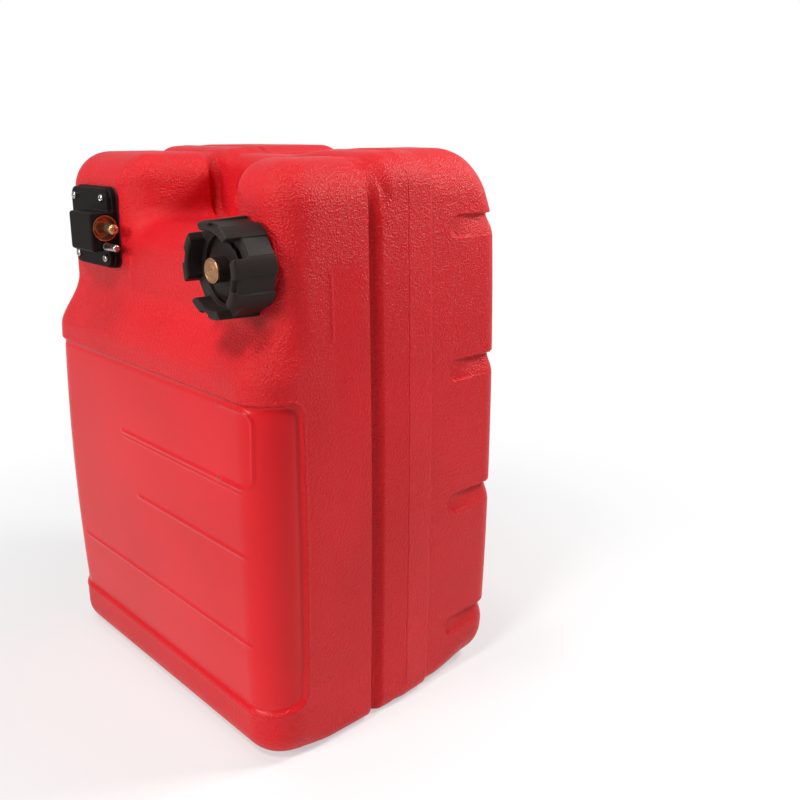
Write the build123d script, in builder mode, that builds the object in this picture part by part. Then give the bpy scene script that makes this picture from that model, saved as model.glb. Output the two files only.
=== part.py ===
from build123d import *
import math
import os

os.makedirs("parts", exist_ok=True)

# A 25 litre portable outboard fuel tank, standing on its end.
# +X is to the right of the face with the cap and connector, -Y is that face, +Z is up.
# The origin is the middle of the flat end that the tank stands on.

# ---- tank shell: blow-moulded polyethylene ----
tank_width = 360.0
tank_height = 484.0
wall = 4.0
foot_width = 240.0  # flat under the belt
front_depth = 105.0  # front section, from the front face to the groove
groove_width = 12.0  # groove all round behind the front section
groove_depth = 6.0
belt_depth = 56.0  # widest band, with the parting line in its middle
back_depth = 89.0
belt_draft = 2.5  # degrees, both ways from the parting line
front_drop = 5.0  # the front blocks end this far below the back section's top
belt_drop = 3.0
back_step = 3.0  # the back section is this much narrower than the belt
front_corner = 34.0  # upright corners of the lower front face
head_corner = 24.0  # upright corners of the set-back head
block_corner = 20.0  # upright corners beside the valley
front_edge = 22.0  # bottom edges of the front section
block_edge = 27.0  # top edges of the two front blocks
belt_corner = 24.0
back_corner = 34.0
back_edge = 24.0

# ---- for drawing: how near an edge lies to be picked, and how far joined pieces run in ----
pick = 0.1
lap = 1.0

# ---- head, ledge and valley of the front section ----
head_setback = 24.0
ledge_from_top = 167.0
ledge_rise = 46.0
ledge_steps = 6
valley_left = 138.0  # width of the left block
valley_right = 80.0  # width of the right block
valley_depth = 57.0
valley_lip_round = 20.0  # front edge of the valley's floor

# ---- carry handle: the belt bridges the valley as a bar ----
handle_width = 96.0
handle_gap = 28.0  # finger gap under the bar
handle_corner = 13.0
handle_floor_rise = 5.0  # gap floor above the valley floor
bar_depth = 34.0
pocket_depth = 56.0  # room for the fingers behind the bar
saddle_depth = 6.0
saddle_width = 170.0
saddle_shift = 34.0  # to the left of the handle's middle
saddle_slope = 18.0

# ---- stiffening slots of the back section ----
slot_count = 4
slot_first = 52.0  # above the base
slot_last = 62.8  # below the top
slot_height = 18.0
slot_depth = 4.0
slot_start = 24.0  # behind the belt

# ---- filler neck and cap ----
cap_from_side = 44.0
cap_from_top = 82.0
neck_bore = 44.0
neck_diameter = 57.0
neck_height = 11.0
thread_pitch = 4.0
thread_turns = 1.5
thread_height = 1.1
thread_width = 1.6
thread_lap = 0.2  # how far the ridge's root runs into its wall
cap_thread_gap = 0.5
cap_gap = 1.5  # between the cap's lower edge and the tank
cap_height = 35.5
cap_diameter = 74.0
cap_taper = 1.5
rib_height = 1.6
gasket_thickness = 2.5
gap_count = 4
gap_phase = 32.0
gap_width = 15.0
gap_depth = 12.5
notch_width = 9.0
notch_depth = 4.0
flute_width = 12.0
dish_diameter = 51.0
dish_depth = 18.2
hub_diameter = 41.0
hub_drop = 14.2  # hub face below the rim

# ---- vent screw in the middle of the cap ----
stem_diameter = 6.0
stem_gap = 0.05
stem_tail = 0.8  # beyond the retainer
bushing_diameter = 12.0
grip_diameter = 18.5
grip_length = 8.5
grip_gap = 0.3
vent_head_thickness = 2.2
vent_head_edge = 0.4
oring_inner = 7.2
oring_outer = 11.2
oring_thickness = 1.6
oring_side_gap = 0.4
retainer_diameter = 11.0
retainer_thickness = 1.2
retainer_gap = 1.8
vent_bore = 2.0
vent_notch = 1.0

# ---- fuel connector ----
connector_from_side = 77.4
connector_from_top = 70.0
plate_width = 72.0
plate_height = 72.0
plate_corner = 10.0
plate_thickness = 9.0
plate_lip = 4.4  # front layer, a little smaller than the layer behind it
plate_inset = 1.2
face_gasket = 1.5
box_width = 44.0
box_height = 34.0
box_drop = 2.0  # centre of the box below the centre of the plate
box_front = 27.0  # in front of the tank's face
box_round = 4.0
screw_pitch_x = 53.8
screw_pitch_z = 53.0
screw_diameter = 4.0
screw_head = 6.8
screw_head_height = 2.4
screw_length = 18.0
screw_hole_gap = 0.2
screw_slot = 1.0
insert_diameter = 7.4
insert_length = 9.5
boss_diameter = 13.0
boss_length = 9.0

# ---- nipple, guide pin and check valve ----
dish_cup_diameter = 22.4
dish_cup_depth = 14.0
dish_cup_wall = 0.8
dish_cup_floor = 1.5
dish_cup_rim = 0.5
nipple_height = 14.0  # axis in front of the tank's face
nipple_rise = 1.0  # axis above the plate's middle
nipple_reach = 17.6  # beyond the side of the box
nipple_diameter = 9.0
nipple_hex = 12.0
nipple_hex_length = 5.0
nipple_bore = 4.4
nipple_mouth = 3.0
nipple_groove_width = 2.2
nipple_groove_diameter = 6.2
nipple_head_length = 9.0
nipple_thread_length = 12.0
nipple_thread = 8.0
nipple_chamfer = 1.4
valve_seat_depth = 2.5  # seat behind the nipple's tip
nipple_oring_proud = 0.3
plunger_gap = 0.05
plunger_length = 3.0
plunger_pin = 2.6
plunger_pin_length = 2.0
spring_length = 8.0
spring_wire = 0.5
spring_turns = 5
spring_seat_length = 2.5
spring_seat_bore = 2.6
pin_diameter = 6.4
pin_shank = 7.2  # pressed into the housing
pin_collar = 1.0  # of the shank beyond the side of the box
pin_drop = 16.0  # below the nipple's axis
pin_reach = 20.4
pin_depth = 12.0
pin_round = 1.6

# ---- pick-up inside the tank ----
barb_shift = 2.0
barb_thread = 9.0
barb_stem = 7.6
barb_diameter = 8.6
barb_rings = 3
barb_ring_length = 2.0
barb_ring_first = 5.0
barb_ring_last = 1.0  # between the last ring and the barb's end
outlet_gap = 1.5  # around the barb in the tank's wall
barb_bore = 5.0
barb_length = 24.0
barb_seat = 8.0  # how deep the barb screws into the housing
tube_wall = 1.6
tube_from_rear = 27.0
tube_overlap = 18.0
clamp_width = 7.0
clamp_thickness = 1.0
clamp_setback = 6.0
clamp_ear = 4.0
strainer_diameter = 18.0
strainer_length = 22.0
strainer_overlap = 6.0
strainer_wall = 1.4
strainer_ribs = 6
strainer_rib_width = 2.0
strainer_ring = 3.0
mesh_thickness = 0.5

# ---- places worked out from the sizes above ----
depth = front_depth + groove_width + belt_depth + back_depth
front_y = -depth / 2
groove_y = front_y + front_depth
belt_y = groove_y + groove_width
parting_y = belt_y + belt_depth / 2
back_y = belt_y + belt_depth
belt_fall = belt_depth / 2 * math.tan(math.radians(belt_draft))
rear_y = back_y + back_depth
head_y = front_y + head_setback
half_width = tank_width / 2
front_top = tank_height - front_drop
belt_top = tank_height - belt_drop
ledge_base = tank_height - ledge_from_top
slot_pitch = (tank_height - slot_first - slot_last) / (slot_count - 1)
valley_x0 = -half_width + valley_left
valley_x1 = half_width - valley_right
valley_z = front_top - valley_depth
handle_x = (valley_x0 + valley_x1) / 2
handle_z = valley_z + handle_floor_rise
bar_rear = belt_y + bar_depth
saddle_x = handle_x - saddle_shift
cap_x = half_width - cap_from_side
cap_z = tank_height - cap_from_top
connector_x = -half_width + connector_from_side
connector_z = tank_height - connector_from_top

neck_radius = neck_diameter / 2
thread_crest = neck_radius + thread_height
thread_start = (neck_height + cap_gap - thread_pitch * thread_turns) / 2
cap_thread_crest = neck_radius + cap_thread_gap
cap_thread_root = thread_crest + cap_thread_gap
cap_rim = cap_gap + cap_height
cap_ceiling = neck_height + gasket_thickness
cap_draft = math.degrees(math.atan2(cap_taper, cap_height))
hub_face = cap_rim - hub_drop
notch_phase = gap_phase - 180 / gap_count
grip_base = hub_face + grip_gap
grip_top = grip_base + grip_length
retainer_base = cap_ceiling - retainer_gap - retainer_thickness
stem_end = retainer_base - stem_tail
vent_cross = hub_face + oring_thickness / 2

plate_front = face_gasket + plate_thickness
box_side = plate_width / 2
screw_clearance = screw_diameter + 2 * screw_hole_gap
screw_places = [
    (side * screw_pitch_x / 2, level * screw_pitch_z / 2)
    for side in (-1, 1)
    for level in (-1, 1)
]
cup_floor = box_side - dish_cup_depth
nipple_start = cup_floor - nipple_thread_length
hex_start = cup_floor + dish_cup_floor
nipple_tip = box_side + nipple_reach
nipple_groove = nipple_tip - nipple_head_length - nipple_groove_width
valve_seat = nipple_tip - valve_seat_depth
plunger_radius = nipple_bore / 2 - plunger_gap
spring_start = valve_seat - plunger_length - spring_length
spring_pitch = (spring_length - spring_wire) / spring_turns
spring_radius = plunger_radius - spring_wire
barb_place = (barb_shift, nipple_rise)
outlet_hole = barb_thread + 2 * outlet_gap
tube_start = -2 * wall - barb_length + tube_overlap
barb_ring_room = tube_overlap - barb_ring_first - barb_ring_last - barb_ring_length
barb_ring_pitch = barb_ring_room / (barb_rings - 1)
tube_end = -(rear_y - tube_from_rear - head_y)
tube_radius = barb_diameter / 2 + tube_wall
strainer_start = tube_end + strainer_overlap
mesh_radius = strainer_diameter / 2 - strainer_wall

# Both fittings are drawn on the tank's face: local z points out of it, local y up.
cap_plane = Plane(origin=(cap_x, head_y, cap_z), x_dir=(1, 0, 0), z_dir=(0, -1, 0))
connector_plane = Plane(origin=(connector_x, head_y, connector_z), x_dir=(1, 0, 0), z_dir=(0, -1, 0))

nipple_plane = Plane(
    origin=connector_plane.from_local_coords((0, nipple_rise, nipple_height)),
    x_dir=(0, 1, 0),
    z_dir=(1, 0, 0),
)
pin_plane = Plane(
    origin=connector_plane.from_local_coords((0, nipple_rise - pin_drop, nipple_height)),
    x_dir=(0, 1, 0),
    z_dir=(1, 0, 0),
)


def front_section(inset):
    """Lower face, ledge and set-back head, with the valley between the two blocks."""
    with BuildPart() as front:
        section_rear = groove_y - inset
        middle_width = 2 * (half_width - inset)
        low_front = front_y + inset
        with BuildSketch(Plane.XY.offset(inset)) as low_plan:
            with Locations((0, (low_front + section_rear) / 2)):
                Rectangle(middle_width, section_rear - low_front)
            fillet(low_plan.vertices().group_by(Axis.Y)[0], radius=front_corner - inset)
        extrude(amount=ledge_base - inset)
        bottom = front.edges().group_by(Axis.Z)[0].sort_by(Axis.Y)
        fillet(bottom[:-1], radius=front_edge - inset)
        for step in range(ledge_steps + 1):
            share = step / ledge_steps
            setback = head_setback * share * share * (3 - 2 * share)
            corner = front_corner + (head_corner - front_corner) * share
            with BuildSketch(Plane.XY.offset(ledge_base + ledge_rise * share)) as ledge_plan:
                with Locations((0, (low_front + setback + section_rear) / 2)):
                    Rectangle(middle_width, section_rear - low_front - setback)
                fillet(ledge_plan.vertices().group_by(Axis.Y)[0], radius=corner - inset)
        loft(ruled=True)
        head_front = head_y + inset
        with BuildSketch(Plane.XY.offset(ledge_base + ledge_rise)) as head_plan:
            with Locations((0, (head_front + section_rear) / 2)):
                Rectangle(middle_width, section_rear - head_front)
            fillet(head_plan.vertices().group_by(Axis.Y)[0], radius=head_corner - inset)
        extrude(amount=front_top - inset - ledge_base - ledge_rise)
        with BuildSketch(Plane.XY.offset(valley_z - inset)):
            with Locations(((valley_x0 + valley_x1) / 2, (front_y + groove_y) / 2)):
                Rectangle(valley_x1 - valley_x0 + 2 * inset, front_depth + 2 * inset)
        extrude(amount=valley_depth + inset, mode=Mode.SUBTRACT)
        inner_corners = (
            front.edges()
            .filter_by(Axis.Z)
            .filter_by_position(Axis.X, valley_x0 - inset - lap, valley_x1 + inset + lap)
            .filter_by_position(Axis.Y, head_front - lap, head_front + lap)
        )
        fillet(inner_corners, radius=block_corner - inset)
        block_tops = (
            front.edges()
            .filter_by_position(Axis.Z, front_top - inset - pick, front_top - inset + pick)
            .filter_by_position(Axis.Y, head_front - lap, section_rear - lap)
        )
        fillet(block_tops, radius=block_edge - inset)
        valley_lip = (
            front.edges()
            .filter_by(Axis.X)
            .filter_by_position(Axis.Z, valley_z - inset - pick, valley_z - inset + pick)
            .filter_by_position(Axis.Y, head_front - pick, head_front + pick)
        )
        fillet(valley_lip, radius=valley_lip_round - inset)
    return front.part


def valley_block(inset, rear):
    """Room of the valley, from in front of the tank back to the given wall."""
    with BuildPart() as valley:
        with BuildSketch(Plane.XY.offset(valley_z - inset)):
            with Locations(((valley_x0 + valley_x1) / 2, (front_y + rear) / 2)):
                Rectangle(valley_x1 - valley_x0 + 2 * inset, rear - front_y)
        extrude(amount=valley_depth + tank_height)
    return valley.part


def side_slots(inset):
    """Slots of the two sides, deepest at the rear, with the channels across the rear face."""
    run = back_depth - slot_start
    slope = math.degrees(math.atan2(slot_depth, run))
    reach = run / math.cos(math.radians(slope)) + slot_height
    with BuildPart() as slots:
        for side in (-1, 1):
            skin = side * (half_width - back_step)
            along = (side * -math.sin(math.radians(slope)), math.cos(math.radians(slope)), 0)
            outward = (side * math.cos(math.radians(slope)), math.sin(math.radians(slope)), 0)
            start = (skin - side * inset, back_y + slot_start, slot_first)
            face = Plane(origin=start, x_dir=along, z_dir=outward)
            upward = face.y_dir.Z
            with BuildSketch(face):
                for number in range(slot_count):
                    with Locations((reach / 2, upward * number * slot_pitch)):
                        SlotOverall(reach + slot_height, slot_height + 2 * inset)
            extrude(amount=slot_height)
        for number in range(slot_count):
            with Locations((0, rear_y - slot_depth - inset, slot_first + number * slot_pitch)):
                Box(
                    tank_width,
                    slot_height,
                    slot_height + 2 * inset,
                    align=(Align.CENTER, Align.MIN, Align.CENTER),
                )
    return slots.part


def tank_form(inset):
    """The tank's outer form, or with an inset the room inside its wall."""
    handle_left = handle_x - handle_width / 2 - inset
    handle_room = handle_width + 2 * inset
    with BuildPart() as form:
        add(front_section(inset))
        core_width = 2 * (half_width - groove_depth - inset)
        core_height = front_top - 2 * groove_depth - 2 * inset
        with BuildSketch(Plane.XZ.offset(-(groove_y - front_edge))):
            with Locations((0, front_top / 2)):
                RectangleRounded(core_width, core_height, belt_corner - groove_depth)
        extrude(amount=-(front_edge + groove_width + inset + lap))
        add(valley_block(inset, belt_y + inset), mode=Mode.SUBTRACT)
        for towards in (1, -1):
            with BuildSketch(Plane.XZ.offset(-parting_y)):
                with Locations((0, belt_top / 2)):
                    RectangleRounded(tank_width - 2 * inset, belt_top - 2 * inset, belt_corner)
            extrude(amount=towards * (belt_depth / 2 - inset), taper=belt_draft)
        back_start = back_y + inset
        back_bottom = back_step + inset
        back_top = tank_height - inset
        back_width = 2 * (half_width - back_step - inset)
        link_top = belt_top - belt_fall - inset
        with BuildSketch(Plane.XZ.offset(-(back_y - inset - lap))):
            with Locations((0, (back_bottom + link_top) / 2)):
                RectangleRounded(back_width, link_top - back_bottom, back_corner)
        extrude(amount=-2 * (inset + lap))
        with BuildPart(mode=Mode.PRIVATE) as back:
            with BuildSketch(Plane.XZ.offset(-back_start)):
                with Locations((0, (back_bottom + back_top) / 2)):
                    RectangleRounded(back_width, back_top - back_bottom, back_corner)
            extrude(amount=-(rear_y - inset - back_start))
            fillet(back.faces().sort_by(Axis.Y)[-1].edges(), radius=back_edge)
        add(back.part)
        saddle_floor = tank_height - saddle_depth - inset
        with BuildSketch(Plane.XZ.offset(-rear_y)):
            with BuildLine():
                Polyline(
                    (saddle_x - saddle_width / 2 - saddle_slope - inset, tank_height),
                    (saddle_x - saddle_width / 2 - inset, saddle_floor),
                    (saddle_x + saddle_width / 2 + inset, saddle_floor),
                    (saddle_x + saddle_width / 2 + saddle_slope + inset, tank_height),
                    close=True,
                )
            make_face()
        extrude(amount=rear_y - belt_y, mode=Mode.SUBTRACT)
        pocket_front = belt_y if inset else bar_rear
        pocket_rear = bar_rear + pocket_depth + inset
        with BuildSketch(Plane.XY.offset(handle_z - inset)):
            with Locations((handle_left + handle_room / 2, (pocket_front + pocket_rear) / 2)):
                Rectangle(handle_room, pocket_rear - pocket_front)
        extrude(amount=tank_height, mode=Mode.SUBTRACT)
        if not inset:
            with BuildSketch(Plane.XZ.offset(-bar_rear - lap)):
                with Locations((handle_x, handle_z + handle_gap / 2)):
                    RectangleRounded(handle_width, handle_gap, handle_corner)
            extrude(amount=bar_depth + 2 * lap, mode=Mode.SUBTRACT)
        add(side_slots(inset), mode=Mode.SUBTRACT)
        if not inset:
            with BuildSketch(Plane.XY):
                with Locations((0, parting_y)):
                    Rectangle(foot_width, belt_depth)
            extrude(amount=belt_fall)
    return form.part


def threads(crest_radius, root_radius, start, lead_angle, plane):
    """One helical ridge around the axis of a fitting, from its root to its crest."""
    half_root = thread_width / 2
    half_crest = thread_width / 4
    overlap = math.copysign(thread_lap, root_radius - crest_radius)
    with BuildPart() as ridge:
        with BuildLine() as path:
            Helix(thread_pitch, thread_pitch * thread_turns, root_radius)
        with BuildSketch(Plane(origin=path.line @ 0, x_dir=(1, 0, 0), z_dir=path.line % 0)):
            with BuildLine():
                Polyline(
                    (overlap, -half_root),
                    (crest_radius - root_radius, -half_crest),
                    (crest_radius - root_radius, half_crest),
                    (overlap, half_root),
                    close=True,
                )
            make_face()
        sweep(is_frenet=True)
    return plane.offset(start).location * Rot(0, 0, lead_angle) * ridge.part


# ---- tank_shell ----
with BuildPart() as tank_shell:
    add(tank_form(0))
    add(tank_form(wall), mode=Mode.SUBTRACT)
    with BuildSketch(cap_plane.offset(-wall / 2)):
        Circle(neck_radius)
    extrude(amount=wall / 2 + neck_height)
    add(threads(thread_crest, neck_radius, thread_start, 0, cap_plane))
    with BuildSketch(cap_plane.offset(-2 * wall)):
        Circle(neck_bore / 2)
    extrude(amount=2 * wall + neck_height, mode=Mode.SUBTRACT)
    with BuildSketch(connector_plane.offset(-wall - boss_length)):
        with Locations(*screw_places):
            Circle(boss_diameter / 2)
    extrude(amount=boss_length + wall / 2)
    with BuildSketch(connector_plane):
        with Locations(*screw_places):
            Circle(insert_diameter / 2)
    extrude(amount=-insert_length, mode=Mode.SUBTRACT)
    with BuildSketch(connector_plane):
        with Locations(barb_place):
            Circle(outlet_hole / 2)
    extrude(amount=-2 * wall, mode=Mode.SUBTRACT)
tank_shell.part.label = "tank_shell"
export_step(tank_shell.part, "parts/tank_shell.step")

# ---- cap_shell: threaded skirt, gripping petals, and a hub for the vent screw ----
with BuildPart() as cap_shell:
    with BuildSketch(cap_plane.offset(cap_gap)):
        Circle(cap_diameter / 2)
    extrude(amount=cap_height, taper=cap_draft)
    with BuildSketch(cap_plane.offset(cap_gap)):
        with PolarLocations(cap_diameter / 2 - rib_height, gap_count, start_angle=gap_phase):
            Rectangle(2 * rib_height, gap_width, align=(Align.MIN, Align.CENTER))
        with PolarLocations(cap_diameter / 2 - rib_height, gap_count, start_angle=notch_phase):
            Rectangle(2 * rib_height, flute_width, align=(Align.MIN, Align.CENTER))
    extrude(amount=cap_height, mode=Mode.SUBTRACT)
    with BuildSketch(cap_plane.offset(cap_rim - gap_depth)):
        with PolarLocations(hub_diameter / 2, gap_count, start_angle=gap_phase):
            Rectangle(cap_diameter, gap_width, align=(Align.MIN, Align.CENTER))
    extrude(amount=gap_depth, mode=Mode.SUBTRACT)
    with BuildSketch(cap_plane.offset(cap_rim - notch_depth)):
        with PolarLocations(cap_diameter / 2 - 3 * rib_height, gap_count, start_angle=notch_phase):
            Rectangle(cap_diameter, notch_width, align=(Align.MIN, Align.CENTER))
    extrude(amount=notch_depth, mode=Mode.SUBTRACT)
    with BuildSketch(cap_plane.offset(hub_face)):
        Circle(dish_diameter / 2)
    extrude(amount=hub_drop, mode=Mode.SUBTRACT)
    with BuildSketch(cap_plane.offset(cap_rim - dish_depth)):
        Circle(dish_diameter / 2)
        Circle(hub_diameter / 2, mode=Mode.SUBTRACT)
    extrude(amount=dish_depth, mode=Mode.SUBTRACT)
    with BuildSketch(cap_plane.offset(cap_gap)):
        Circle(cap_thread_root)
    extrude(amount=cap_ceiling - cap_gap, mode=Mode.SUBTRACT)
    add(threads(cap_thread_crest, cap_thread_root, thread_start, 180, cap_plane))
    with BuildSketch(cap_plane.offset(cap_ceiling)):
        Circle(bushing_diameter / 2)
    extrude(amount=hub_face - cap_ceiling, mode=Mode.SUBTRACT)
cap_shell.part.label = "cap_shell"
export_step(cap_shell.part, "parts/cap_shell.step")

# ---- cap_gasket: flat ring between the neck's end and the cap ----
with BuildPart() as cap_gasket:
    with BuildSketch(cap_plane.offset(neck_height)):
        Circle(neck_radius)
        Circle(neck_bore / 2, mode=Mode.SUBTRACT)
    extrude(amount=gasket_thickness)
cap_gasket.part.label = "cap_gasket"
export_step(cap_gasket.part, "parts/cap_gasket.step")

# ---- vent_bushing: threaded insert in the middle of the hub ----
with BuildPart() as vent_bushing:
    with BuildSketch(cap_plane.offset(cap_ceiling)):
        Circle(bushing_diameter / 2)
        Circle(stem_diameter / 2 + stem_gap, mode=Mode.SUBTRACT)
    extrude(amount=hub_face - cap_ceiling)
vent_bushing.part.label = "vent_bushing"
export_step(vent_bushing.part, "parts/vent_bushing.step")

# ---- vent_oring: seals the stem against the hub when the vent is screwed down ----
with BuildPart() as vent_oring:
    with BuildSketch(cap_plane.offset(hub_face)):
        Circle(oring_outer / 2)
        Circle(oring_inner / 2, mode=Mode.SUBTRACT)
    extrude(amount=oring_thickness)
vent_oring.part.label = "vent_oring"
export_step(vent_oring.part, "parts/vent_oring.step")

# ---- vent_screw: brass stem with a flat turned head and an air passage ----
with BuildPart() as vent_screw:
    with BuildSketch(cap_plane.offset(stem_end)):
        Circle(stem_diameter / 2)
    extrude(amount=grip_top - stem_end)
    with BuildSketch(cap_plane.offset(grip_top)):
        Circle(grip_diameter / 2)
    extrude(amount=vent_head_thickness)
    head_edge = vent_screw.faces().sort_by(Axis.Y)[0].edges()
    chamfer(head_edge, length=vent_head_edge)
    with BuildSketch(cap_plane.offset(stem_end)):
        Circle(vent_bore / 2)
    extrude(amount=vent_cross - stem_end, mode=Mode.SUBTRACT)
    with BuildSketch(Plane(origin=cap_plane.offset(vent_cross).origin, z_dir=(1, 0, 0))):
        Circle(vent_notch / 2)
    extrude(amount=stem_diameter, both=True, mode=Mode.SUBTRACT)
vent_screw.part.label = "vent_screw"
export_step(vent_screw.part, "parts/vent_screw.step")

# ---- vent_grip: black sleeve moulded round the stem, under the brass head ----
with BuildPart() as vent_grip:
    with BuildSketch(cap_plane.offset(grip_base)):
        Circle(grip_diameter / 2)
    extrude(amount=grip_length)
    with BuildSketch(cap_plane.offset(grip_base)):
        Circle(oring_outer / 2 + oring_side_gap)
    extrude(amount=oring_thickness - grip_gap, mode=Mode.SUBTRACT)
    with BuildSketch(cap_plane.offset(grip_base)):
        Circle(stem_diameter / 2)
    extrude(amount=grip_length, mode=Mode.SUBTRACT)
vent_grip.part.label = "vent_grip"
export_step(vent_grip.part, "parts/vent_grip.step")

# ---- vent_retainer: clip on the stem's end, so that the vent screw can't be lost ----
with BuildPart() as vent_retainer:
    with BuildSketch(cap_plane.offset(retainer_base)):
        Circle(retainer_diameter / 2)
        Circle(stem_diameter / 2, mode=Mode.SUBTRACT)
    extrude(amount=retainer_thickness)
vent_retainer.part.label = "vent_retainer"
export_step(vent_retainer.part, "parts/vent_retainer.step")

# ---- outlet_gasket: sheet between the connector and the tank ----
with BuildPart() as outlet_gasket:
    with BuildSketch(connector_plane):
        RectangleRounded(plate_width, plate_height, plate_corner)
        with Locations(*screw_places):
            Circle(screw_clearance / 2, mode=Mode.SUBTRACT)
        with Locations(barb_place):
            Circle(barb_thread / 2, mode=Mode.SUBTRACT)
    extrude(amount=face_gasket)
outlet_gasket.part.label = "outlet_gasket"
export_step(outlet_gasket.part, "parts/outlet_gasket.step")

# ---- connector_housing: stepped plate with the box that holds nipple and guide pin ----
with BuildPart() as connector_housing:
    with BuildSketch(connector_plane.offset(face_gasket)):
        RectangleRounded(plate_width, plate_height, plate_corner)
    extrude(amount=plate_thickness - plate_lip)
    with BuildSketch(connector_plane.offset(plate_front - plate_lip)):
        RectangleRounded(
            plate_width - 2 * plate_inset,
            plate_height - 2 * plate_inset,
            plate_corner - plate_inset,
        )
    extrude(amount=plate_lip)
    with BuildPart(mode=Mode.PRIVATE) as box:
        with BuildSketch(connector_plane.offset(face_gasket)):
            with Locations((box_side - box_width / 2, -box_drop)):
                Rectangle(box_width, box_height)
        extrude(amount=box_front - face_gasket)
        left_edges = box.edges().filter_by(Axis.Y).group_by(Axis.X)[0]
        fillet(left_edges, radius=box_round)
        fillet(box.faces().sort_by(Axis.Y)[0].edges().sort_by(Axis.X)[:-1], radius=box_round / 2)
    add(box.part)
    with BuildSketch(connector_plane.offset(face_gasket)):
        with Locations(*screw_places):
            Circle(screw_clearance / 2)
    extrude(amount=plate_thickness, mode=Mode.SUBTRACT)
    with BuildSketch(nipple_plane.offset(box_side - dish_cup_depth)):
        Circle(dish_cup_diameter / 2)
    extrude(amount=dish_cup_depth, mode=Mode.SUBTRACT)
    with BuildSketch(nipple_plane.offset(nipple_start)):
        Circle(nipple_thread / 2)
    extrude(amount=nipple_thread_length, mode=Mode.SUBTRACT)
    with BuildSketch(nipple_plane.offset(barb_shift)):
        Circle(barb_bore / 2)
    extrude(amount=nipple_start - barb_shift, mode=Mode.SUBTRACT)
    with BuildSketch(pin_plane.offset(box_side - pin_depth)):
        Circle(pin_shank / 2)
    extrude(amount=pin_depth, mode=Mode.SUBTRACT)
    with BuildSketch(connector_plane.offset(face_gasket)):
        with Locations(barb_place):
            Circle(barb_thread / 2)
    extrude(amount=barb_seat, mode=Mode.SUBTRACT)
    with BuildSketch(connector_plane.offset(face_gasket)):
        with Locations(barb_place):
            Circle(barb_bore / 2)
    extrude(amount=nipple_height - face_gasket, mode=Mode.SUBTRACT)
connector_housing.part.label = "connector_housing"
export_step(connector_housing.part, "parts/connector_housing.step")

# ---- housing_screws: four pan-head screws with a driving slot ----
with BuildPart() as housing_screws:
    with BuildSketch(connector_plane.offset(plate_front)):
        with Locations(*screw_places):
            Circle(screw_head / 2)
    extrude(amount=screw_head_height)
    fillet(housing_screws.faces().group_by(Axis.Y)[0].edges(), radius=screw_head_height / 2)
    with BuildSketch(connector_plane.offset(plate_front)):
        with Locations(*screw_places):
            Circle(screw_diameter / 2)
    extrude(amount=-screw_length)
    with BuildSketch(connector_plane.offset(plate_front + screw_head_height)):
        with Locations(*screw_places):
            Rectangle(screw_head, screw_slot)
            Rectangle(screw_slot, screw_head / 2)
    extrude(amount=-screw_head_height / 2, mode=Mode.SUBTRACT)
housing_screws.part.label = "housing_screws"
export_step(housing_screws.part, "parts/housing_screws.step")

# ---- insert_nuts: brass inserts moulded into the tank's wall ----
with BuildPart() as insert_nuts:
    with BuildSketch(connector_plane.offset(-insert_length)):
        with Locations(*screw_places):
            Circle(insert_diameter / 2)
            Circle(screw_diameter / 2, mode=Mode.SUBTRACT)
    extrude(amount=insert_length)
insert_nuts.part.label = "insert_nuts"
export_step(insert_nuts.part, "parts/insert_nuts.step")

# ---- nipple_cup: pressed brass cup that lines the recess around the nipple ----
with BuildPart() as nipple_cup:
    with BuildSketch(nipple_plane.offset(cup_floor)):
        Circle(dish_cup_diameter / 2)
        Circle(nipple_thread / 2, mode=Mode.SUBTRACT)
    extrude(amount=dish_cup_floor)
    with BuildSketch(nipple_plane.offset(cup_floor)):
        Circle(dish_cup_diameter / 2)
        Circle(dish_cup_diameter / 2 - dish_cup_wall, mode=Mode.SUBTRACT)
    extrude(amount=dish_cup_depth + dish_cup_rim)
nipple_cup.part.label = "nipple_cup"
export_step(nipple_cup.part, "parts/nipple_cup.step")

# ---- fuel_nipple: turned brass plug that the fuel line's socket clips over ----
with BuildPart() as fuel_nipple:
    with BuildSketch(nipple_plane.offset(nipple_start)):
        Circle(nipple_thread / 2)
    extrude(amount=nipple_thread_length + dish_cup_floor)
    with BuildSketch(nipple_plane.offset(hex_start)):
        RegularPolygon(nipple_hex / 2, 6, major_radius=False)
    extrude(amount=nipple_hex_length)
    with BuildSketch(nipple_plane.offset(hex_start + nipple_hex_length)):
        Circle(nipple_diameter / 2)
    extrude(amount=nipple_tip - hex_start - nipple_hex_length)
    chamfer(fuel_nipple.faces().sort_by(Axis.X)[-1].edges(), length=nipple_chamfer)
    with BuildSketch(nipple_plane.offset(nipple_groove)):
        Circle(nipple_diameter)
        Circle(nipple_groove_diameter / 2, mode=Mode.SUBTRACT)
    extrude(amount=nipple_groove_width, mode=Mode.SUBTRACT)
    with BuildSketch(nipple_plane.offset(nipple_start)):
        Circle(nipple_bore / 2)
    extrude(amount=valve_seat - nipple_start, mode=Mode.SUBTRACT)
    with BuildSketch(nipple_plane.offset(valve_seat)):
        Circle(nipple_mouth / 2)
    extrude(amount=nipple_tip - valve_seat, mode=Mode.SUBTRACT)
fuel_nipple.part.label = "fuel_nipple"
export_step(fuel_nipple.part, "parts/fuel_nipple.step")

# ---- nipple_oring: seal in the nipple's groove ----
with BuildPart() as nipple_oring:
    with BuildSketch(nipple_plane.offset(nipple_groove)):
        Circle(nipple_diameter / 2 + nipple_oring_proud)
        Circle(nipple_groove_diameter / 2, mode=Mode.SUBTRACT)
    extrude(amount=nipple_groove_width)
    outer_edges = nipple_oring.faces().filter_by(GeomType.CYLINDER).sort_by(SortBy.AREA)[-1].edges()
    fillet(outer_edges, radius=nipple_groove_width / 3)
nipple_oring.part.label = "nipple_oring"
export_step(nipple_oring.part, "parts/nipple_oring.step")

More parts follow.
